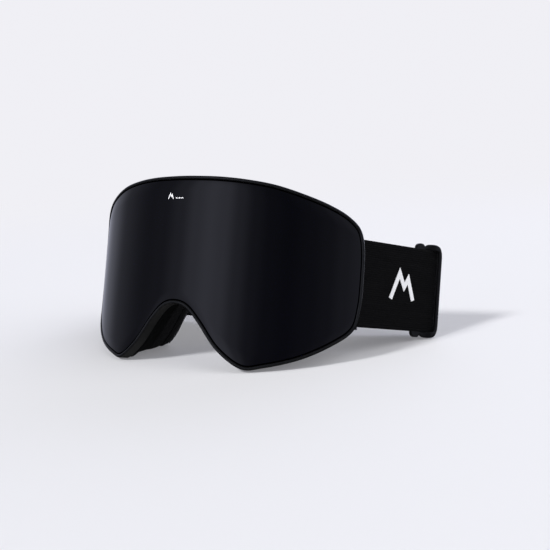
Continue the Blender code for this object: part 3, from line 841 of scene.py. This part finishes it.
def back_path(front):
    """From the end of the left strap's turn to the middle of the back."""
    place = strap_place(1)
    first, second = (place(p.x, p.y, 0).to_2d() for p in front[-2:])
    lead = (second - first).normalized()
    keys = [second + lead * 0.02, second + lead * 9] + [Vector(p) for p in STRAP_BACK_ROUTE]
    ahead = [keys[0] - lead * 9] + keys + [Vector((-35, STRAP_BACK_ROUTE[1][1]))]
    path = []
    for k in range(1, len(ahead) - 2):
        path += [catmull(*ahead[k - 1:k + 3], step / 24) for step in range(24)]
    return path + [keys[-1]]


def build_strap(side, name):
    """The front webbing rides with the strap, and the back one stays where it is built."""
    body = f"strap_{name}"
    front = front_path()
    piece = webbing(f"webbing_front_{name}", even_path(front, 1.2), strap_place(side))
    stand_for(piece, "webbing", body, f"strap_front_{name}")

    def flat(x, y, z):
        return Vector((side * x, y, z))

    path = back_path(front)
    # The back webbing takes the lighter copy of the webbing look: painted light
    piece = webbing(f"webbing_back_{name}", even_path(path, 1.3), flat, PAINTED_LIGHT_WEBBING)
    stand_for(piece, "webbing", None, f"strap_back_{name}")
    grip = grip_lines(f"strap_grip_{name}", path[GRIP_POINT:], side)
    stand_for(grip, "webbing", None)
    start, end = (WORLD @ flat(*point, STRAP_MIDDLE) for point in (path[-1], path[SWING_POINT]))
    for item in (piece, grip):
        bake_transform(item)
        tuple(start)
        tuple(end)


def grip_lines(name, path, side):
    """Three wavy beads of silicone printed inside the webbing, where it lies on a helmet."""
    parts = []
    for row in GRIP_ROWS:
        cuts, reach = [], 0.0
        for k, point in enumerate(path):
            before, after = path[max(k - 1, 0)], path[min(k + 1, len(path) - 1)]
            along = (after - before).normalized()
            inner = Vector((-along.y, along.x))
            reach += (point - before).length if k else 0.0
            middle = row + GRIP_WAVE * math.sin(reach * math.tau / GRIP_WAVE_LENGTH)
            fade = max(GRIP_FIRST, min(1.0, k / 3, len(path) - 1 - k + GRIP_LAST))
            cut = []
            for step in range(8):
                angle = math.tau * step / 8
                lift = STRAP_THICK / 2 - 0.1 + GRIP_RISE * max(-0.3, math.sin(angle)) * fade
                flat = point + inner * lift
                across = middle + GRIP_HALF * math.cos(angle)
                cut.append(Vector((side * flat.x, flat.y, STRAP_MIDDLE + across)))
            cuts.append(cut)
        parts.append(rings_mesh(cuts, closed=False))
    return new_piece(name, join(*parts), SILICONE, smooth=80)


def build_stitching(side, name):
    """Two rows of lock stitches where the webbing's end is sewn back, on the inner layer."""
    place = strap_place(side)
    parts = []
    for row in STITCH_ROWS:
        for k in range(STITCHES):
            middle = -STITCH_SPAN / 2 + STITCH_SPAN * k / (STITCHES - 1)
            cuts = []
            for share in (-1.0, -0.8, -0.4, 0.0, 0.4, 0.8, 1.0):
                bulge = math.sqrt(max(0.0, 1 - share * share)) * THREAD_RADIUS + 0.02
                centre_n = INNER_N - STRAP_THICK / 2 - 0.1 * (1 - share * share)
                cuts.append([place(row + bulge * math.cos(t), centre_n + bulge * math.sin(t),
                                   STRAP_MIDDLE + middle + share * STITCH_HALF)
                             for t in (math.tau * j / 6 for j in range(6))])
            parts.append(rings_mesh(cuts, closed=False))
    piece = new_piece(f"stitching_{name}", join(*parts), THREAD, smooth=80)
    stand_for(piece, "webbing", f"strap_{name}")


def build_anchor(side, name):
    """The fixed staple on the frame's wall, whose bar the strap loops round."""
    centre = strap_place(1)(STRAP_BAR_AT, BAR_N, 0)
    half_in = STRAP_WIDTH / 2 + ANCHOR_PLAY
    half_out = half_in + ANCHOR_ARM
    half_thick = ANCHOR_THICK / 2
    wall_x, inner_x, outer_x = ANCHOR_WALL_X, centre.x - half_thick, centre.x + half_thick
    section = [(wall_x, half_out), (outer_x, half_out), (outer_x, -half_out), (wall_x, -half_out),
               (wall_x, -half_in), (inner_x, -half_in), (inner_x, half_in), (wall_x, half_in)]

    def place(x, z, y):
        return Vector((side * x, y, STRAP_MIDDLE + z))

    bm = prism(section, place, centre.y - half_thick, centre.y + half_thick)
    anchor = new_piece(f"anchor_bar_{name}", bm, SATIN, smooth=30)
    bevel(anchor, 0.3, segments=3)
    apply_all(anchor)
    anchor.data.shade_smooth()
    stand_for(anchor, "satin_plastic", "frame", f"strap_anchor_{name}")


def slider_outline():
    """Half of the plate's edge, from its near bar over the round shoulder to the neck."""
    near, far = SLIDER_ROUNDS
    edge = arc((SLIDER_START + near, SLIDER_SHOULDER - near), near, 180, 90, 8)
    edge += arc((SLIDER_START + SLIDER_FAR_ROUND_AT, SLIDER_SHOULDER - far), far, 90, 12, 7)
    return edge + [Vector((SLIDER_START + SLIDER_LENGTH, SLIDER_NECK))]


def window_outline():
    """Half of the window between the plate's two bars."""
    near, far, half = SLIDER_WINDOW
    radius = SLIDER_WINDOW_ROUND
    edge = arc((SLIDER_START + near + radius, half - radius), radius, 180, 90, 8)
    return edge + arc((SLIDER_START + far - radius, half - radius), radius, 90, 0, 8)


def slider_loop(place):
    """The rounded loop from the plate's ends round the far bar, under which the outer layer passes."""
    keys = [Vector(k) for k in SLIDER_LOOP]
    keys += [Vector((k[0], -k[1], k[2], k[3])) for k in reversed(keys)]
    ahead = [2 * keys[0] - keys[1]] + keys + [2 * keys[-1] - keys[-2]]
    line = [catmull(*ahead[k - 1:k + 3], step / 5)
            for k in range(1, len(ahead) - 2) for step in range(5)]
    line.append(keys[-1])
    cuts = []
    for k, (a, c, n, half) in enumerate(line):
        before, after = line[max(k - 1, 0)], line[min(k + 1, len(line) - 1)]
        along = Vector((after[0] - before[0], after[1] - before[1])).normalized()
        side = Vector((along.y, -along.x))
        cut = []
        for step in range(16):
            angle = math.tau * step / 16
            across, lift = (math.copysign(abs(x) ** SLIDER_SQUARENESS, x)
                            for x in (math.cos(angle), math.sin(angle)))
            across, lift = across * half, lift * SLIDER_BAR_LIFT
            cut.append(place(a + side.x * across, n + lift, STRAP_MIDDLE + c + side.y * across))
        cuts.append(cut)
    return rings_mesh(cuts, closed=False)


def build_slider(side, name):
    """A three-bar slider, moulded in one: a plate between the layers and a loop round the far end."""
    place = strap_place(side)
    bottom, top = BAR_N - SLIDER_HALF_THICK, BAR_N + SLIDER_HALF_THICK

    def ring(half, n):
        whole = half + [Vector((p.x, -p.y)) for p in reversed(half)]
        return [place(p.x, n, STRAP_MIDDLE + p.y) for p in whole]

    outer, window = slider_outline(), window_outline()
    plate = rings_mesh([ring(outer, bottom), ring(outer, top), ring(window, top), ring(window, bottom)])
    piece = new_piece(f"slider_body_{name}", join(plate, slider_loop(place)), SLIDER)
    mould(piece, 0.24, 4)
    stand_for(piece, "slider_plastic", f"slider_{name}", f"slider_{name}")


def build_badge():
    """The white print on the outside of the left strap."""
    place = strap_place(1)

    def flat(a, c, n):
        return place(BADGE_MIDDLE.x + a, n, STRAP_MIDDLE + BADGE_MIDDLE.y + c)

    bm = prism(outline_of_line(PEAKS, BADGE_LINE_WIDTH), flat, *BADGE_LEVELS)
    badge = new_piece("peak_mark", bm, MARK, smooth=30)
    bevel(badge, 0.12)
    apply_all(badge)
    stand_for(badge, "white_mark", "strap_left", "strap_badge")


def finish_magnets():
    """The CAD magnets keep their shape and get a small chamfer and a plated steel finish."""
    for name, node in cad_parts.items():
        if "magnet" in name:
            node.data.materials.clear()
            node.data.materials.append(STEEL)
            bevel(node, 0.15)


# ---------------------------------------------------------------- studio

BACKDROP = (0.872, 0.868, 0.912)
FLOOR_COLOUR = (0.80, 0.80, 0.815)
# The floor shines by this share of the backdrop's colour even in shadow, and by all of it far away
FLOOR_LIFT = 0.2
FLOOR_FADE = (0.35, 1.15)
# Soft light from all round at eye level: (azimuth in degrees from the lens's front, brightness).
# The lens mirrors its bright and dark bands.
SIDE_LIGHT = [(-180, 2.2), (-152, 1.6), (-128, 0.42), (-108, 0.31), (-90, 0.17), (-66, 0.115),
              (-53, 0.15), (-40, 0.29), (-29, 0.55), (-18, 0.705), (-9, 0.62), (1, 0.34),
              (11, 0.155), (21, 0.09), (33, 0.07), (46, 0.095), (57, 0.135), (66, 0.21),
              (76, 0.28), (95, 0.30), (136, 0.27), (160, 1.6), (180, 2.2)]
SIDE_TINT = (0.95, 0.975, 1.18)
# Dimmer light from the rest of the sphere: (colour, sine of the elevation where it starts and is full)
OVERHEAD = ((0.1, 0.1, 0.102), 0.5, 0.8)
UNDERFOOT = ((0.03, 0.03, 0.03), -0.12, -0.3)
FLOOR_GLOW = ((0.14, 0.14, 0.14), -0.7, -0.95)

CAMERA_AT = (0.3284, -0.4645, 0.1329)
CAMERA_RIGHT = Vector((0.8436, 0.5333, -0.0637))
CAMERA_UP = Vector((-0.0348, 0.1726, 0.9843))
CAMERA_AHEAD = Vector((-0.5359, 0.8281, -0.1642))
FOCAL_LENGTH, SENSOR_WIDTH = 65.45, 36.0


def build_floor():
    """A pale table with a soft shadow, which melts into the backdrop far away."""
    bm = bmesh.new()
    bmesh.ops.create_circle(bm, cap_ends=True, segments=96, radius=6.0)
    mesh = bpy.data.meshes.new("floor")
    bm.to_mesh(mesh)
    bm.free()
    look = Look("floor", Roughness=0.75, Specular_IOR_Level=0.12)
    place = look.node("TexCoord").outputs["Object"]
    lighter = tuple(c * 1.006 for c in FLOOR_COLOUR)
    look.colour(look.noise(place, 3.0, 4.0), (0.3, FLOOR_COLOUR), (0.7, lighter))
    glow = look.node("Emission", {"Color": (*BACKDROP, 1.0), "Strength": 1.0})
    far = look.node("VectorMath", {0: place}, operation="LENGTH").outputs["Value"]
    share = look.node("MapRange", {"Value": far, "From Min": FLOOR_FADE[0], "From Max": FLOOR_FADE[1],
                                   "To Min": FLOOR_LIFT}, interpolation_type="SMOOTHSTEP").outputs[0]
    mixed = look.node("MixShader", {0: share, 1: look.shader.outputs[0], 2: glow.outputs[0]})
    out = look.tree.nodes["Material Output"]
    look.tree.links.new(mixed.outputs[0], out.inputs["Surface"])
    floor = bpy.data.objects.new("floor", mesh)
    bpy.context.collection.objects.link(floor)
    mesh.materials.append(look.material)
    floor.visible_glossy = False


def build_world():
    """The camera sees a plain backdrop; lights and reflections see bands at eye level and dim poles."""
    world = bpy.data.worlds.new("studio")
    bpy.context.scene.world = world
    world.use_nodes = True
    tree = world.node_tree
    tree.nodes.clear()

    def node(kind, inputs=None, **settings):
        return add_node(tree, kind, inputs, **settings)

    parts = node("SeparateXYZ", {0: node("TexCoord").outputs["Generated"]}).outputs
    back = node("Math", {0: parts["Y"], 1: -1.0}, operation="MULTIPLY").outputs[0]
    azimuth = node("Math", {0: parts["X"], 1: back}, operation="ARCTAN2").outputs[0]
    share = node("MapRange", {"Value": azimuth, "From Min": -math.pi, "From Max": math.pi}).outputs[0]
    ramp = node("ValToRGB", {"Fac": share})
    ramp.color_ramp.interpolation = "EASE"
    elements = ramp.color_ramp.elements
    while len(elements) < len(SIDE_LIGHT):
        elements.new(0.5)
    for element, (degrees, bright) in zip(elements, SIDE_LIGHT):
        element.position = (degrees + 180) / 360
        element.color = (*(bright * tint for tint in SIDE_TINT), 1.0)
    light = ramp.outputs["Color"]
    for colour, start, full in (OVERHEAD, UNDERFOOT, FLOOR_GLOW):
        share = node("MapRange", {"Value": parts["Z"], "From Min": start, "From Max": full},
                     interpolation_type="SMOOTHSTEP").outputs[0]
        light = node("Mix", {"Factor": share, "A": light, "B": (*colour, 1.0)},
                     data_type="RGBA").outputs["Result"]
    lit = node("Background", {"Color": light, "Strength": 1.0})
    seen = node("Background", {"Color": (*BACKDROP, 1.0), "Strength": 1.0})
    pick = node("MixShader", {0: node("LightPath").outputs["Is Camera Ray"], 1: lit.outputs[0],
                              2: seen.outputs[0]})
    tree.links.new(pick.outputs[0], node("OutputWorld").inputs["Surface"])


def add_sun(name, azimuth, elevation, strength, angle):
    """A far soft light. Azimuth is in degrees from the lens's front, towards the wearer's left."""
    light = bpy.data.lights.new(name, "SUN")
    light.energy = strength
    light.angle = math.radians(angle)
    item = bpy.data.objects.new(name, light)
    turn, lift = math.radians(azimuth), math.radians(elevation)
    source = Vector((math.sin(turn) * math.cos(lift), -math.cos(turn) * math.cos(lift), math.sin(lift)))
    item.rotation_euler = (-source).to_track_quat("-Z", "Y").to_euler()
    item.visible_glossy = False
    bpy.context.collection.objects.link(item)


def build_camera():
    """The camera of the product photograph: above the lens's left, looking down a little."""
    data = bpy.data.cameras.new("camera")
    data.lens = FOCAL_LENGTH
    data.sensor_width = SENSOR_WIDTH
    data.clip_start = 0.01
    camera = bpy.data.objects.new("camera", data)
    turn = Matrix((CAMERA_RIGHT, CAMERA_UP, -CAMERA_AHEAD)).transposed().to_4x4()
    camera.matrix_world = Matrix.Translation(CAMERA_AT) @ turn
    bpy.context.collection.objects.link(camera)
    bpy.context.scene.camera = camera


build_camera()
build_world()
build_floor()
add_sun("key", azimuth=-18, elevation=38, strength=2.6, angle=12)
add_sun("fill", azimuth=95, elevation=40, strength=1.4, angle=70)
bpy.context.scene.view_settings.view_transform = "Standard"

build_rim()
build_frame_body()
build_vent_foam()
build_face_foam()
build_lens()
build_lens_print()
for strap_side, strap_name in SIDES:
    build_anchor(strap_side, strap_name)
    build_strap(strap_side, strap_name)
    build_stitching(strap_side, strap_name)
    build_slider(strap_side, strap_name)
build_badge()
finish_magnets()
